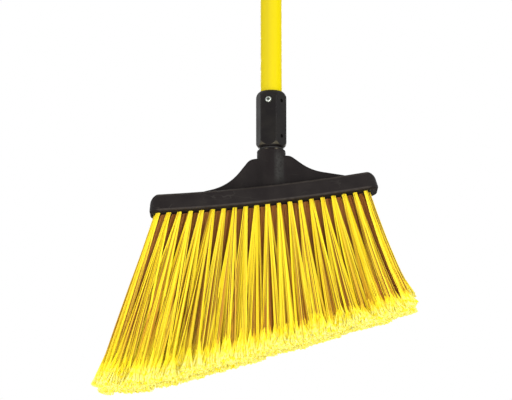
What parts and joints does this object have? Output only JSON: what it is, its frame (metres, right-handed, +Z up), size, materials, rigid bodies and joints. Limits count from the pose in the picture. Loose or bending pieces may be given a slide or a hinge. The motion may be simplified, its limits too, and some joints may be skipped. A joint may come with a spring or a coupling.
{
  "type": "angle broom",
  "caption": "Upright sweeping broom with a tube handle screwed into a tilted moulded head, and fanned bristle tufts cut on a slant for sweeping into corners.",
  "frame": {"origin": "on the handle's axis, where the tube comes out of the collar's mouth", "axes": "+Z up along the handle, +X towards the end with the short bristles, -Y to the front"},
  "size_m": [0.3267, 0.0596, 1.4928],
  "materials": {
    "yellow_paint": "smooth gloss paint",
    "black_plastic": "moulded, lightly scuffed",
    "zinc_steel": "zinc plated",
    "dark_rubber": "smooth",
    "yellow_bristle": "split pale tips",
    "brown_bristle": "fine strands"
  },
  "bodies": {
    "handle": {"handle_tube": "yellow_paint", "hanger_cap": "black_plastic", "thread_collar": "black_plastic", "collar_screw": "zinc_steel"},
    "lock_ring": {"lock_washer": "dark_rubber"},
    "head": {"head_block": "black_plastic", "tuft_staples": "zinc_steel", "fill_tufts": "brown_bristle", "tuft_front_01": "yellow_bristle", "tuft_front_02": "yellow_bristle", "tuft_front_03": "yellow_bristle", "tuft_front_04": "yellow_bristle", "tuft_front_05": "yellow_bristle", "tuft_front_06": "yellow_bristle", "tuft_front_07": "yellow_bristle", "tuft_front_08": "yellow_bristle", "tuft_front_09": "yellow_bristle", "tuft_front_10": "yellow_bristle", "tuft_front_11": "yellow_bristle", "tuft_front_12": "yellow_bristle", "tuft_front_13": "yellow_bristle", "tuft_front_14": "yellow_bristle", "tuft_front_15": "yellow_bristle", "tuft_front_16": "yellow_bristle", "tuft_front_17": "yellow_bristle", "tuft_front_18": "yellow_bristle", "tuft_front_19": "yellow_bristle", "tuft_front_20": "yellow_bristle", "tuft_back_01": "yellow_bristle", "tuft_back_02": "yellow_bristle", "tuft_back_03": "yellow_bristle", "tuft_back_04": "yellow_bristle", "tuft_back_05": "yellow_bristle", "tuft_back_06": "yellow_bristle", "tuft_back_07": "yellow_bristle", "tuft_back_08": "yellow_bristle", "tuft_back_09": "yellow_bristle", "tuft_back_10": "yellow_bristle", "tuft_back_11": "yellow_bristle", "tuft_back_12": "yellow_bristle", "tuft_back_13": "yellow_bristle", "tuft_back_14": "yellow_bristle", "tuft_back_15": "yellow_bristle", "tuft_back_16": "yellow_bristle", "tuft_back_17": "yellow_bristle", "tuft_back_18": "yellow_bristle", "tuft_back_19": "yellow_bristle", "tuft_back_20": "yellow_bristle", "tuft_end_left": "yellow_bristle", "tuft_end_right": "yellow_bristle"}
  },
  "joints": [
    {"name": "head_turn", "type": "hinge", "parent": "handle", "child": "lock_ring", "pos_m": [0, 0, -0.06], "axis": [0, 0, -1], "range_deg": [0, 1260]},
    {"name": "head_travel", "type": "slide", "parent": "lock_ring", "child": "head", "axis": [0, 0, -1], "range_m": [0, 0.0178]}
  ],
  "couplings": [
    {"joint": "head_travel", "follows": "head_turn", "m_per_rad": 0.00080851}
  ]
}
